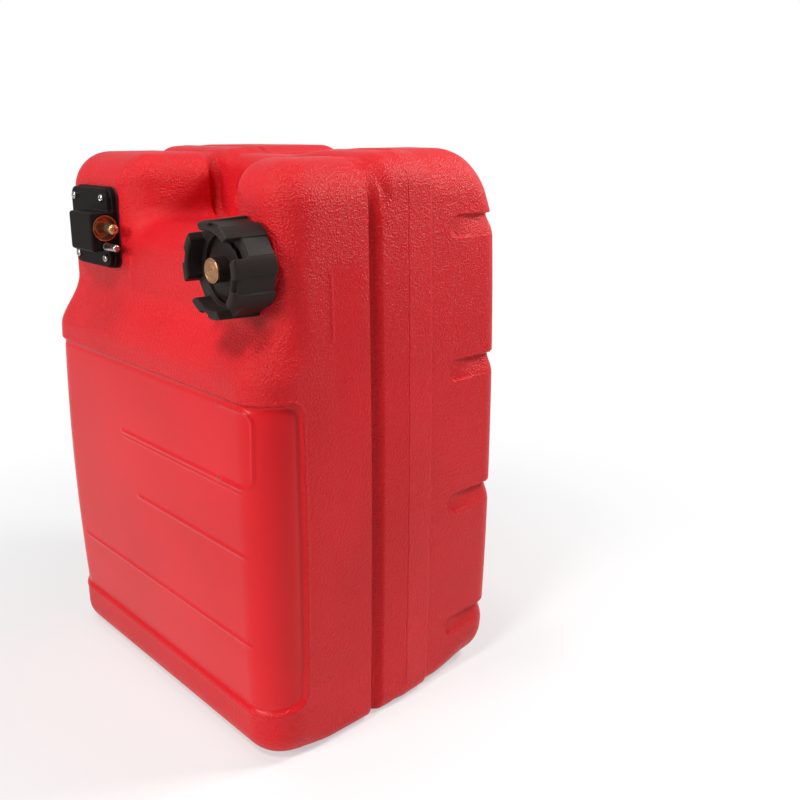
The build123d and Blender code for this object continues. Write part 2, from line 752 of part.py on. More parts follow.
# ---- check_plunger: valve that the fuel line pushes open ----
with BuildPart() as check_plunger:
    with BuildSketch(nipple_plane.offset(valve_seat - plunger_length)):
        Circle(plunger_radius)
    extrude(amount=plunger_length)
    with BuildSketch(nipple_plane.offset(valve_seat)):
        Circle(plunger_pin / 2)
    extrude(amount=plunger_pin_length)
    fillet(check_plunger.faces().sort_by(Axis.X)[-1].edges(), radius=plunger_pin / 4)
check_plunger.part.label = "check_plunger"
export_step(check_plunger.part, "parts/check_plunger.step")

# ---- check_spring: holds the plunger on its seat ----
with BuildPart() as check_spring:
    with BuildLine() as coil:
        Helix(spring_pitch, spring_length - spring_wire, spring_radius)
    with BuildSketch(Plane(origin=coil.line @ 0, z_dir=coil.line % 0)):
        Circle(spring_wire / 2)
    sweep(is_frenet=True)
spring_place = nipple_plane.offset(spring_start + spring_wire / 2).location
check_spring_part = spring_place * check_spring.part
check_spring_part.label = "check_spring"
export_step(check_spring_part, "parts/check_spring.step")

# ---- spring_seat: bush pressed into the nipple's bore behind the spring ----
with BuildPart() as spring_seat:
    with BuildSketch(nipple_plane.offset(spring_start - spring_seat_length)):
        Circle(nipple_bore / 2)
        Circle(spring_seat_bore / 2, mode=Mode.SUBTRACT)
    extrude(amount=spring_seat_length)
spring_seat.part.label = "spring_seat"
export_step(spring_seat.part, "parts/spring_seat.step")

# ---- guide_pin: steel pin that lines the fuel line's socket up ----
with BuildPart() as guide_pin:
    with BuildSketch(pin_plane.offset(box_side - pin_depth)):
        Circle(pin_shank / 2)
    extrude(amount=pin_depth + pin_collar)
    with BuildSketch(pin_plane.offset(box_side + pin_collar)):
        Circle(pin_diameter / 2)
    extrude(amount=pin_reach - pin_collar)
    fillet(guide_pin.faces().sort_by(Axis.X)[-1].edges(), radius=pin_round)
guide_pin.part.label = "guide_pin"
export_step(guide_pin.part, "parts/guide_pin.step")

# ---- pickup_barb: screwed into the housing from behind, through the tank's wall ----
with BuildPart() as pickup_barb:
    with BuildSketch(connector_plane.offset(face_gasket + barb_seat)):
        with Locations(barb_place):
            Circle(barb_thread / 2)
    extrude(amount=-face_gasket - barb_seat - 2 * wall)
    with BuildSketch(connector_plane.offset(-2 * wall)):
        with Locations(barb_place):
            Circle(barb_stem / 2)
    extrude(amount=-barb_length)
    for number in range(barb_rings):
        with BuildSketch(connector_plane.offset(tube_start - barb_ring_first - number * barb_ring_pitch)):
            with Locations(barb_place):
                Circle(barb_diameter / 2)
        extrude(amount=-barb_ring_length)
    with BuildSketch(connector_plane.offset(face_gasket + barb_seat)):
        with Locations(barb_place):
            Circle(barb_bore / 2)
    extrude(amount=-face_gasket - barb_seat - 2 * wall - barb_length, mode=Mode.SUBTRACT)
pickup_barb.part.label = "pickup_barb"
export_step(pickup_barb.part, "parts/pickup_barb.step")

# ---- pickup_tube: reaches the lowest point of the tank when it lies on its back ----
with BuildPart() as pickup_tube:
    with BuildSketch(connector_plane.offset(tube_start)):
        with Locations(barb_place):
            Circle(barb_diameter / 2 + tube_wall)
            Circle(barb_diameter / 2, mode=Mode.SUBTRACT)
    extrude(amount=tube_end - tube_start)
pickup_tube.part.label = "pickup_tube"
export_step(pickup_tube.part, "parts/pickup_tube.step")

# ---- tube_clamp: band with a crimped ear, over the barb ----
with BuildPart() as tube_clamp:
    with BuildSketch(connector_plane.offset(tube_start - clamp_setback)):
        with Locations(barb_place):
            Circle(tube_radius + clamp_thickness)
            with Locations((0, tube_radius)):
                Rectangle(clamp_ear, clamp_ear, align=(Align.CENTER, Align.MIN))
            Circle(tube_radius, mode=Mode.SUBTRACT)
    extrude(amount=-clamp_width)
tube_clamp.part.label = "tube_clamp"
export_step(tube_clamp.part, "parts/tube_clamp.step")

# ---- strainer_frame: cage on the tube's end ----
with BuildPart() as strainer_frame:
    with BuildSketch(connector_plane.offset(strainer_start)):
        with Locations(barb_place):
            Circle(strainer_diameter / 2)
            Circle(tube_radius, mode=Mode.SUBTRACT)
    extrude(amount=-strainer_ring)
    with BuildSketch(connector_plane.offset(strainer_start - strainer_ring)):
        with Locations(barb_place):
            with PolarLocations(strainer_diameter / 2 - strainer_wall / 2, strainer_ribs):
                Rectangle(strainer_wall, strainer_rib_width)
    extrude(amount=-(strainer_length - 2 * strainer_ring))
    with BuildSketch(connector_plane.offset(strainer_start - strainer_length + strainer_ring)):
        with Locations(barb_place):
            Circle(strainer_diameter / 2)
    extrude(amount=-strainer_ring)
strainer_frame.part.label = "strainer_frame"
export_step(strainer_frame.part, "parts/strainer_frame.step")

# ---- strainer_mesh: fine gauze sleeve inside the cage ----
with BuildPart() as strainer_mesh:
    with BuildSketch(connector_plane.offset(strainer_start - strainer_ring)):
        with Locations(barb_place):
            Circle(mesh_radius)
            Circle(mesh_radius - mesh_thickness, mode=Mode.SUBTRACT)
    extrude(amount=-(strainer_length - 2 * strainer_ring))
strainer_mesh.part.label = "strainer_mesh"
export_step(strainer_mesh.part, "parts/strainer_mesh.step")
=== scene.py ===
import math

import bpy
import numpy as np
from mathutils import Euler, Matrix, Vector


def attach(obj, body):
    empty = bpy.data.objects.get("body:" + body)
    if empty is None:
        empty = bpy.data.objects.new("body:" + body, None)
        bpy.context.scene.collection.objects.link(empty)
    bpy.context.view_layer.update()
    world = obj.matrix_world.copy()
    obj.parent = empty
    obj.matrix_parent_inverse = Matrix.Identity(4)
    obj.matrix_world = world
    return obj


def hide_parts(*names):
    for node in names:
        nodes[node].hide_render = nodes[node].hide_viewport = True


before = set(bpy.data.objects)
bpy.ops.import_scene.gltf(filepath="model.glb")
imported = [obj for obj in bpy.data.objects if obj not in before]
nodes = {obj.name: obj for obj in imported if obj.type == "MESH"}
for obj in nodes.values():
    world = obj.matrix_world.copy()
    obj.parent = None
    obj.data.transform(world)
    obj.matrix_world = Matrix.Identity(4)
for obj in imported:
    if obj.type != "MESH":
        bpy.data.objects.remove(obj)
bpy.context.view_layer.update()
scene = bpy.context.scene
MM = 0.001

# ---- sizes of the tank, in mm, as the solids have them ----
tank_height = 484.0
front_y = -131.0
head_y = -107.0
groove_y = -26.0
belt_y = -14.0
parting_y = 14.0
back_y = 42.0
rear_y = 131.0
front_top = 479.0
belt_top = 483.4
front_half_width = 178.9  # at mid height, where the sides stand out most
side_crown = 3.4
side_swell = 0.7  # the front section's sides stand out a little more at swell_z
swell_z = 190.0
face_crown = 4.0  # the lower face swells this much between its foot and the ledge
front_corner = 34.0
head_sharper = 10.0  # the corner's radius is smaller by this above the ledge
top_rounder = 9.0  # and larger again by this near the top
shoulder_round = 35.0
foot_round = 22.0
belt_proud = 0.6
belt_draft = math.tan(math.radians(3.6))
belt_shoulder = 27.0
seam_depth = 0.5
seam_half_width = 0.6
back_step = 2.4
back_shoulder = 38.0
back_foot = 15.0
rear_round = 18.0
rear_top_round = 22.0  # added at the top of the two rear corners
groove_depth = 7.5
section_overlap = 14.0  # neighbouring sections run into each other this far
ledge_base = 317.0
ledge_rise = 46.0
head_setback = head_y - front_y
valley_left = -42.0
valley_right = 100.0
valley_z = 422.0
valley_round = 14.0
valley_lip = 24.0
saddle_left = -44.0  # the top dips behind the handle from here
saddle_right = 35.0
saddle_depth = 6.0
slot_height = 18.0
slot_first = 52.0
slot_pitch = 123.07
slot_start = 66.0
slot_depth = 4.6
slot_front_depth = 2.1
slot_top_depth = 0.3

# ---- the handle's opening and the pocket behind it ----
handle_x = 29.0
handle_half_width = 48.0
handle_z = 441.0
handle_y = 5.0
handle_half_height = 14.0
pocket_y = 48.0
pocket_half_depth = 28.0
pocket_floor = 427.0

# ---- panel, fields and embossed lines ----
panel_foot = 42.0
panel_head = 305.0
panel_foot_rise = 5.0
panel_corner = 12.0
panel_wrap_y = -195.0  # the panel's outline ends panel_wrap behind this, round the corner
panel_wrap = 100.0
panel_recess = 2.4
panel_end_x = 160.0
field_y = -49.0
field_z = 309.0
field_half_width = 19.0
field_half_height = 98.0
window_z = 268.0
window_half_height = 30.0
face_line_end = 149.5
face_lines = (  # height up the face, where it starts, half width, how proud it is
    (237.0, -40.0, 1.7, 1.1),
    (232.5, -40.0, 1.2, 0.5),
    (181.0, -17.0, 1.7, 1.1),
    (104.0, -135.0, 1.7, 1.1),
)
short_line_half_width = 1.3
short_line_height = 0.7

# ---- neck and threads ----
cap_x = 136.0
cap_z = 402.0
neck_radius = 28.5
neck_bore = 22.0
neck_height = 11.0
neck_bore_end = -62.0
thread_pitch = 4.0
thread_turns = 1.5
thread_start = 3.25

# ---- screw cap: radii, and distances out from the head's face ----
cap_radius = 37.0
cap_taper = 1.5
cap_back = 1.5
cap_front = 37.0
first_gap = math.radians(32.0)
gap_half_width = 7.5
gap_floor = 24.5
gap_inner = 20.5
gap_flute = 34.4
notch_half_width = 4.5
notch_floor = 33.0
notch_inner = 31.7
petal_flute_half_width = 6.5
petal_flute = 34.3
dish_radius = 28.6
dish_floor = 22.8
channel_radius = 25.5
channel_floor = 18.8
hub_radius = 20.4
hub_ripple = 0.35
skirt_bore = 30.1
skirt_room = 13.5
cap_bore = 6.0

# ---- vent screw ----
vent_head_radius = 9.2
vent_head_middle = 32.7
vent_head_half = 1.1
vent_face = 33.8
vent_stem_radius = 3.0
vent_stem_back = 9.7
vent_stem_front = 32.0
vent_hole_radius = 1.0
vent_cross_hole = 23.6  # a hole through the stem, where the vent's air comes out
vent_cross_radius = 0.5

# ---- connector ----
connector_x = -102.6
connector_z = 414.0
plate_half = 36.0
plate_corner = 10.0
plate_step = 6.1
plate_rim = 1.2  # the front layer of the plate is this much smaller all round
plate_front = 10.5  # in front of the tank's face
box_x = 14.0
box_z = -2.0
box_half_width = 22.0
box_half_height = 17.0
box_front = 27.0
socket_out = 14.0  # the nipple's and the pin's axes stand off the head by this
cup_z = 1.0
cup_radius = 11.2
cup_floor = 22.0
pin_z = -15.0
pin_radius = 3.6
pin_floor = 24.0
screw_pitch_x = 53.8
screw_pitch_z = 53.0
screw_head_radius = 3.4
screw_head_height = 2.4
screw_recess_radius = 2.1
screw_shank_radius = 2.0
screw_shank_length = 18.0

# ---- strainer ----
strainer_start = -208.0  # end of the gauze sleeve nearest the connector, along its axis
strainer_length = 16.0


# ---- forms as distance fields: less than 0 is inside, in mm ----
def ease(value):
    """0 below 0, 1 above 1, with a soft start and end."""
    share = np.clip(value, 0.0, 1.0)
    return share * share * (3.0 - 2.0 * share)


def both(a, b, radius):
    """Inside both forms, with the edge where they meet rounded."""
    corner = np.hypot(np.maximum(a + radius, 0.0), np.maximum(b + radius, 0.0))
    return np.minimum(-radius, np.maximum(a, b)) + corner


def either(a, b, radius):
    """Inside one form or the other, with a fillet in the corner between them."""
    corner = np.hypot(np.maximum(radius - a, 0.0), np.maximum(radius - b, 0.0))
    return np.maximum(radius, np.minimum(a, b)) - corner


def without(a, b, radius):
    """The first form with the second cut out of it, and the cut's edge rounded."""
    return both(a, -b, radius)


def rounded_rectangle(across, up, half_width, half_height, radius):
    """Distance to a rectangle with rounded corners."""
    past_side = np.abs(across) - half_width + radius
    past_end = np.abs(up) - half_height + radius
    corner = np.hypot(np.maximum(past_side, 0.0), np.maximum(past_end, 0.0))
    return corner + np.minimum(np.maximum(past_side, past_end), 0.0) - radius


def ridge(across, along, start, end, half_width, height):
    """Height of a straight embossed line with round ends."""
    past_end = np.maximum(np.maximum(start - along, along - end), 0.0)
    return height * np.exp(-((across**2 + past_end**2) / half_width**2))


def spoke(from_axis, angle, first):
    """Distances along and beside the nearest of four spokes; the first is at an angle."""
    quarter = math.pi / 2
    turn = np.mod(angle - first + quarter / 2, quarter) - quarter / 2
    return from_axis * np.cos(turn), np.abs(from_axis * np.sin(turn))


def front_panel(y, z):
    """Distance to the outline of the smooth panel that wraps round the lower face."""
    rise = panel_foot_rise * ease((y + 129.0) / 28.0)
    middle = (panel_foot + rise + panel_head) / 2
    behind = np.maximum(y - panel_wrap_y, 0.0)
    return rounded_rectangle(behind, z - middle, panel_wrap, panel_head - middle, panel_corner)


def side_panel(y, z):
    """Distance to the outline of the smooth field on the side of the right-hand block."""
    return rounded_rectangle(y - field_y, z - field_z, field_half_width, field_half_height, 4.0)


def window_line(across, up):
    """Distance to the thin line that goes round the right-hand end of the panel."""
    frame_line = rounded_rectangle(across - 60.0, up - window_z, 100.0, window_half_height, 10.0)
    return np.abs(frame_line) + 40.0 * ease((120.0 - across) / 4.0)


def relief(x, y, z):
    """How far the mould's panel, rim and lines stand out of the front section."""
    edge = front_panel(y, z)
    foot = ease((90.0 - z) / 30.0)
    height = -panel_recess * ease(-edge / (3.0 + 6.0 * foot))
    height -= (0.5 + 0.9 * foot) * np.exp(-(((edge + 4.5) / 2.4) ** 2))
    rim = np.maximum(foot, ease((y + 125.0) / 12.0))
    height += 0.5 * np.exp(-(((edge - 1.2) / 1.1) ** 2)) * rim
    face = ease((-112.0 - y) / 8.0) * ease((ledge_base - z) / 4.0)
    lines = 0.0
    for level, start, half_width, proud in face_lines:
        lines = lines + ridge(z - level, x, start, face_line_end, half_width, proud)
    lines += 1.1 * np.exp(-((window_line(x, z) / 1.5) ** 2))
    height += lines * face
    head = ease((z - 357.0) / 4.0) * ease((-95.0 - y) / 6.0)
    height += ridge(x + 52.0, z, 363.0, 394.0, short_line_half_width, short_line_height) * head
    right_side = ease((x - 165.0) / 6.0)
    side_line = ridge(y + 65.0, z, 347.0, 398.0, short_line_half_width, short_line_height)
    height += side_line * right_side
    return height * ease((groove_y - 6.0 - y) / 6.0)


def front_section(x, y, z, side):
    """Head, ledge, valley and face, down to the groove, and the narrower core in the groove."""
    rise = np.clip((z - ledge_base) / ledge_rise, 0.0, 1.0)
    setback = head_setback * ease(rise)
    slope = head_setback * 6.0 * rise * (1.0 - rise) / ledge_rise
    fullness = face_crown * (1.0 - np.clip(np.abs(z - swell_z) / 150.0, 0.0, 1.0) ** 2)
    face = (front_y + setback - fullness - y) / np.hypot(1.0, slope)
    walls = np.maximum(valley_left - x, x - valley_right)
    valley = both(walls, valley_z - z, valley_round)
    outline = without(both(side, z - front_top, shoulder_round), valley, valley_lip)
    corner = front_corner - head_sharper * ease(rise) + top_rounder * ease((z - 385.0) / 70.0)
    section = both(outline, face, corner)
    section = both(section, -z, foot_round - 10.0 * ease((y + 108.0) / 40.0))
    section = both(section, y - groove_y, 2.5) - relief(x, y, z)

    floor = groove_depth - 5.0 * ease((y + 21.0) / 9.0)
    floor *= 1.0 - 0.55 * ease((z - 440.0) / 32.0)
    core = both(outline + floor, 0.5 - z, 7.0)
    ends = np.maximum(groove_y - section_overlap - y, y - belt_y - section_overlap)
    return either(section, np.maximum(core, ends), 1.2)


def belt_section(y, z, side, ceiling):
    """The belt, drafted both ways from a slightly wandering parting line."""
    fall = np.abs(y - parting_y) * belt_draft
    top = z - np.minimum(belt_top, ceiling) + fall
    belt = both(side - belt_proud + fall, top, belt_shoulder)
    belt = both(belt, 0.4 * fall - z, 13.0)
    wander = y - parting_y + 0.25 * np.sin(z / 9.0) + 0.15 * np.sin(z / 3.7)
    seam = -seam_depth * np.exp(-((wander / seam_half_width) ** 2)) * ease((z - 12.0) / 10.0)
    belt = both(belt - seam, belt_y - y, 11.0 * ease((z - 435.0) / 12.0) + 2.5)
    return both(belt, y - back_y, 2.0)


def back_section(x, y, z, side, ceiling, height_share):
    """The back, with rounder rear corners at the top and four slots a side."""
    back = both(side + back_step, z - ceiling, back_shoulder)
    back = both(back, 1.5 - z, back_foot + 18.0 * ease((y - 50.0) / 60.0))
    bulge = 0.5 * (x / 175.0) ** 4 + 2.6 * height_share**4
    corner = rear_round + 6.0 * height_share**2
    corner += rear_top_round * ease((z - 415.0) / 55.0) * ease((np.abs(x + 10.0) - 55.0) / 75.0)
    back = both(back, y - rear_y + bulge, corner)
    number = np.clip(np.round((z - slot_first) / slot_pitch), 0, 3)
    above = z - slot_first - number * slot_pitch
    round_end = np.maximum(slot_start + slot_height / 2 - y, 0.0)
    slot = np.hypot(above, round_end) - slot_height / 2
    scoop = slot_top_depth + (slot_depth - slot_top_depth) * ease(above / slot_height + 0.55)
    deeper = ease((y - slot_start - 4.0) / 30.0)
    depth = slot_front_depth + (scoop - slot_front_depth) * deeper
    slot = both(slot, -(back + depth), 0.7)
    back = without(back, slot, 0.8)
    return np.maximum(back, back_y - section_overlap - y)


def tank_form(x, y, z):
    """The whole outside of the tank."""
    height_share = (z - tank_height / 2) / (tank_height / 2)
    side = np.abs(x) - front_half_width + side_crown * height_share**2
    swell = np.exp(-(((z - swell_z) / 90.0) ** 2)) * ease((-60.0 - y) / 40.0)
    side -= side_swell * swell
    saddle = saddle_depth * ease((x - saddle_left) / 18.0) * (1.0 - ease((x - saddle_right) / 70.0))
    ceiling = tank_height - saddle
    form = front_section(x, y, z, side)
    form = either(form, belt_section(y, z, side, ceiling), 1.2)
    form = either(form, back_section(x, y, z, side, ceiling, height_share), 1.6)

    across = x - handle_x
    opening = rounded_rectangle(across, z - handle_z, handle_half_width, handle_half_height, 13.0)
    opening = np.maximum(opening, np.abs(y - handle_y) - 26.0)
    pocket = rounded_rectangle(across, y - pocket_y, handle_half_width, pocket_half_depth, 11.0)
    pocket = both(pocket, pocket_floor - z, 8.0)
    form = without(form, opening, 5.0)
    form = without(form, pocket, 6.0)

    from_axis = np.hypot(x - cap_x, z - cap_z)
    neck = both(from_axis - neck_radius, head_y - neck_height - y, 0.8)
    neck = np.maximum(neck, y - head_y - 8.0)
    form = either(form, neck, 1.5)
    form = without(form, np.maximum(from_axis - neck_bore, y - neck_bore_end), 0.8)
    return np.maximum(form, -z)


def cap_form(x, y, z):
    """Screw cap: four petals, a dish with a hub in it, and a hollow skirt."""
    across = x - cap_x
    up = z - cap_z
    out = head_y - y
    from_axis = np.hypot(across, up)
    angle = np.arctan2(up, across)
    skirt = cap_radius - cap_taper * (out - cap_back) / (cap_front - cap_back)
    form = both(from_axis - skirt, out - cap_front, 2.8)
    form = both(form, cap_back - out, 1.0)

    along, aside = spoke(from_axis, angle, first_gap)
    gap = both(np.maximum(aside - gap_half_width, gap_floor - out), gap_inner - along, 1.0)
    flute = both(aside - gap_half_width, gap_flute - along, 0.8)
    form = without(form, flute, 1.0)
    form = without(form, gap, 1.2)

    along, aside = spoke(from_axis, angle, first_gap + math.pi / 4)
    notch = np.maximum(aside - notch_half_width, notch_floor - out)
    notch = both(notch, notch_inner - along, 1.0)
    flute = both(aside - petal_flute_half_width, petal_flute - along, 0.8)
    form = without(form, flute, 1.2)
    form = without(form, notch, 1.2)

    dish = both(from_axis - dish_radius, dish_floor - out, 1.2)
    form = without(form, dish, 2.2)
    scallop = hub_radius + hub_ripple * np.cos(16.0 * angle)
    ring = np.maximum(from_axis - channel_radius, scallop - from_axis)
    form = without(form, np.maximum(ring, channel_floor - out), 0.9)
    form = without(form, np.maximum(from_axis - skirt_bore, out - skirt_room), 0.6)
    return np.maximum(form, cap_bore - from_axis)


def housing_form(x, y, z):
    """Connector housing: a stepped plate, with the box that holds nipple and guide pin."""
    across = x - connector_x
    up = z - connector_z
    out = head_y - y
    rear_layer = rounded_rectangle(across, up, plate_half, plate_half, plate_corner)
    rear_layer = both(rear_layer, out - plate_step, 1.0)
    smaller = plate_half - plate_rim
    front_layer = rounded_rectangle(across, up, smaller, smaller, plate_corner - plate_rim)
    front_layer = both(front_layer, out - plate_front, 1.3)
    form = either(rear_layer, front_layer, 0.3)
    box = rounded_rectangle(across - box_x, up - box_z, box_half_width, box_half_height, 1.2)
    box = both(box, box_x - box_half_width - across, 4.5)
    box = both(box, out - box_front, 2.4)
    form = either(form, box, 1.6)
    form = np.maximum(form, 1.5 - out)
    from_cup = np.hypot(out - socket_out, up - cup_z)
    form = without(form, np.maximum(from_cup - cup_radius, cup_floor - across), 0.4)
    from_pin = np.hypot(out - socket_out, up - pin_z)
    return without(form, np.maximum(from_pin - pin_radius, pin_floor - across), 0.4)


def vent_form(x, y, z):
    """Vent screw: a turned head with a rim line and a centre mark, on a bored stem."""
    from_axis = np.hypot(x - cap_x, z - cap_z)
    out = head_y - y
    head = both(from_axis - vent_head_radius, np.abs(out - vent_head_middle) - vent_head_half, 0.4)
    face = vent_face - out
    for radius, half_width, depth in ((7.9, 0.35, 0.35), (4.4, 0.25, 0.2)):
        line = np.maximum(np.abs(from_axis - radius) - half_width, face - depth)
        head = without(head, line, 0.1)
    head = without(head, np.maximum(from_axis - 0.9, face - 0.5), 0.1)
    ends = np.maximum(vent_stem_back - out, out - vent_stem_front)
    stem = np.maximum(from_axis - vent_stem_radius, ends)
    form = np.minimum(head, stem)
    form = np.maximum(form, -np.maximum(from_axis - vent_hole_radius, out - vent_cross_hole))
    cross = np.hypot(out - vent_cross_hole, z - cap_z) - vent_cross_radius
    return np.maximum(form, -np.maximum(cross, np.abs(x - cap_x) - 2.0 * vent_stem_radius))


def screw_form(x, y, z):
    """Pan-head screw with a cross recess; its head stands on z = 0."""
    from_axis = np.hypot(x, y)
    head = both(from_axis - screw_head_radius, z - screw_head_height, 1.5)
    head = both(head, -z, 0.2)
    arm = np.minimum(np.abs(x), np.abs(y)) - 0.5 + 0.3 * (screw_head_height - z)
    recess = np.maximum(np.maximum(arm, from_axis - screw_recess_radius), 1.0 - z)
    head = without(head, recess, 0.15)
    shank = np.maximum(from_axis - screw_shank_radius, z - 0.5)
    return np.minimum(head, np.maximum(shank, -screw_shank_length - z))


# ---- from a field to a mesh ----
grid_growth = 0.31  # grid lines spread this much for each mm away from a place
newton_steps = 4


def grid_lines(low, high, widest, places=()):
    """Grid lines from low to high, closer together near each (place, reach, spacing)."""
    lines = [low]
    while lines[-1] < high:
        step = widest
        for place, reach, spacing in places:
            away = max(0.0, abs(lines[-1] - place) - reach)
            step = min(step, spacing + grid_growth * away)
        lines.append(lines[-1] + step)
    return np.array(lines)


def slope_of(form, points, reach):
    """The field's gradient, which on the surface points straight out of it."""
    slope = np.empty_like(points)
    for axis in range(3):
        step = np.zeros(3)
        step[axis] = reach
        ahead = form(*(points + step).T)
        behind = form(*(points - step).T)
        slope[:, axis] = (ahead - behind) / (2.0 * reach)
    return slope


def skin_mesh(name, form, lines, reach):
    """Closed mesh of four-sided faces over a field, its points on the exact surface."""
    value = form(*np.meshgrid(*lines, indexing="ij"))
    cells = np.array(value.shape) - 1
    total = np.zeros((cells.prod(), 3))
    count = np.zeros(cells.prod())
    quads = []
    for axis in range(3):
        first, second = (axis + 1) % 3, (axis + 2) % 3
        near = np.take(value, range(cells[axis]), axis)
        far = np.take(value, range(1, cells[axis] + 1), axis)
        where = np.argwhere((near < 0) != (far < 0))
        here = near[tuple(where.T)]
        share = here / (here - far[tuple(where.T)])
        point = np.stack([lines[side][where[:, side]] for side in range(3)], 1)
        width = np.diff(lines[axis])[where[:, axis]]
        point[:, axis] += share * width
        around = []
        for back_first, back_second in ((1, 1), (0, 1), (0, 0), (1, 0)):
            cell = where.copy()
            cell[:, first] -= back_first
            cell[:, second] -= back_second
            number = np.ravel_multi_index(cell.T, cells)
            np.add.at(total, number, point)
            np.add.at(count, number, 1.0)
            around.append(number)
        faces = np.stack(around, 1)
        quads.append(np.where((here < 0)[:, None], faces, faces[:, ::-1]))
    used = np.flatnonzero(count)
    points = total[used] / count[used, None]
    faces = np.searchsorted(used, np.concatenate(quads))
    for _ in range(newton_steps):
        slope = slope_of(form, points, reach)
        steep = np.maximum((slope**2).sum(1), 0.2)
        move = np.clip(form(*points.T) / steep, -1.5, 1.5)
        points -= slope * move[:, None]
    normals = slope_of(form, points, reach)
    normals /= np.maximum(np.linalg.norm(normals, axis=1), 1e-6)[:, None]
    mesh = bpy.data.meshes.new(name)
    mesh.from_pydata((points * MM).tolist(), [], faces.tolist())
    mesh.polygons.foreach_set("use_smooth", [True] * len(mesh.polygons))
    mesh.normals_split_custom_set_from_vertices(normals.tolist())
    return mesh, points


# ---- small tools for nodes, colours and pieces ----
def linear(code):
    """Linear colour from an sRGB hex value."""
    parts = [int(code[place : place + 2], 16) / 255.0 for place in (1, 3, 5)]
    return tuple(p / 12.92 if p <= 0.04045 else ((p + 0.055) / 1.055) ** 2.4 for p in parts) + (1.0,)


def add_node(tree, kind, inputs=None, **settings):
    """Adds a node with its settings; each input is a value or another node's socket."""
    node = tree.nodes.new(kind)
    for name, value in settings.items():
        setattr(node, name, value)
    for name, value in (inputs or {}).items():
        if isinstance(value, bpy.types.NodeSocket):
            tree.links.new(value, node.inputs[name])
        else:
            node.inputs[name].default_value = value
    return node


def per_mm(size):
    """Texture scale at which one cell of a pattern is this many mm across."""
    return 1000.0 / size


def new_material(name, **values):
    """A material with one Principled BSDF that holds the given numbers and colours."""
    material = bpy.data.materials.new(name)
    material.use_nodes = True
    tree = material.node_tree
    shader = tree.nodes["Principled BSDF"]
    for socket, value in values.items():
        shader.inputs[socket.replace("_", " ")].default_value = value
    place = add_node(tree, "ShaderNodeTexCoord").outputs["Object"]
    return material, tree, shader, place


def noise(tree, place, size, detail):
    """Value of a noise whose blotches are this many mm across."""
    inputs = {"Vector": place, "Scale": per_mm(size), "Detail": detail}
    return add_node(tree, "ShaderNodeTexNoise", inputs).outputs["Fac"]


def colour_between(tree, shader, value, low, high, margin=0.0):
    """Base colour that goes from low to high with a value, level for a margin at each end."""
    tone = add_node(tree, "ShaderNodeValToRGB", {"Fac": value})
    first, last = tone.color_ramp.elements
    first.position = margin
    first.color = linear(low)
    last.position = 1.0 - margin
    last.color = linear(high)
    tree.links.new(tone.outputs["Color"], shader.inputs["Base Color"])


def roughness_between(tree, shader, value, low, high):
    """Roughness that goes from low to high with a value."""
    gloss = add_node(tree, "ShaderNodeMapRange", {"Value": value, "To Min": low, "To Max": high})
    tree.links.new(gloss.outputs[0], shader.inputs["Roughness"])


def bumped(tree, height, strength, distance, **below):
    """Normal with a height's bumps, this many metres high, on top of what is below."""
    inputs = {"Height": height, "Strength": strength, "Distance": distance, **below}
    return add_node(tree, "ShaderNodeBump", inputs).outputs[0]


def piece_from(name, mesh, body, material, replaced=()):
    """Puts a finished mesh in the scene as a piece that rides on a body."""
    piece = bpy.data.objects.new(name, mesh)
    scene.collection.objects.link(piece)
    piece.data.materials.clear()
    piece.data.materials.append(material)
    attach(piece, body)
    for node in replaced:
        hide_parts(node)
    return piece


def new_growth(name, **inputs):
    """A Geometry Nodes tree with a named input for each size, object or material."""
    tree = bpy.data.node_groups.new(name, "GeometryNodeTree")
    for label, kind in inputs.items():
        tree.interface.new_socket(label, in_out="INPUT", socket_type="NodeSocket" + kind)
    tree.interface.new_socket("Mesh", in_out="OUTPUT", socket_type="NodeSocketGeometry")
    return tree, tree.nodes.new("NodeGroupInput").outputs


def placed_and_painted(tree, given, geometry):
    """Ends a tree: turns local z to -Y, moves to the centre, realizes and sets the material."""
    placed = add_node(
        tree,
        "GeometryNodeTransform",
        {"Geometry": geometry, "Rotation": (math.pi / 2, 0.0, 0.0), "Translation": given["Centre"]},
    )
    real = add_node(tree, "GeometryNodeRealizeInstances", {"Geometry": placed.outputs[0]})
    smooth = add_node(tree, "GeometryNodeSetShadeSmooth", {0: real.outputs[0]})
    paint = add_node(
        tree,
        "GeometryNodeSetMaterial",
        {"Geometry": smooth.outputs[0], "Material": given["Material"]},
    )
    add_node(tree, "NodeGroupOutput", {"Mesh": paint.outputs[0]})


def grown_mesh(name, tree, **values):
    """The plain mesh that a Geometry Nodes tree makes from the given values."""
    seed = bpy.data.objects.new(name, bpy.data.meshes.new(name))
    scene.collection.objects.link(seed)
    modifier = seed.modifiers.new("growth", "NODES")
    modifier.node_group = tree
    for socket in tree.interface.items_tree:
        if socket.in_out == "INPUT":
            modifier[socket.identifier] = values[socket.name]
    bpy.context.view_layer.update()
    grown = seed.evaluated_get(bpy.context.evaluated_depsgraph_get())
    mesh = bpy.data.meshes.new_from_object(grown)
    mesh.name = name
    seed.modifiers.clear()
    bpy.data.objects.remove(seed)
    return mesh


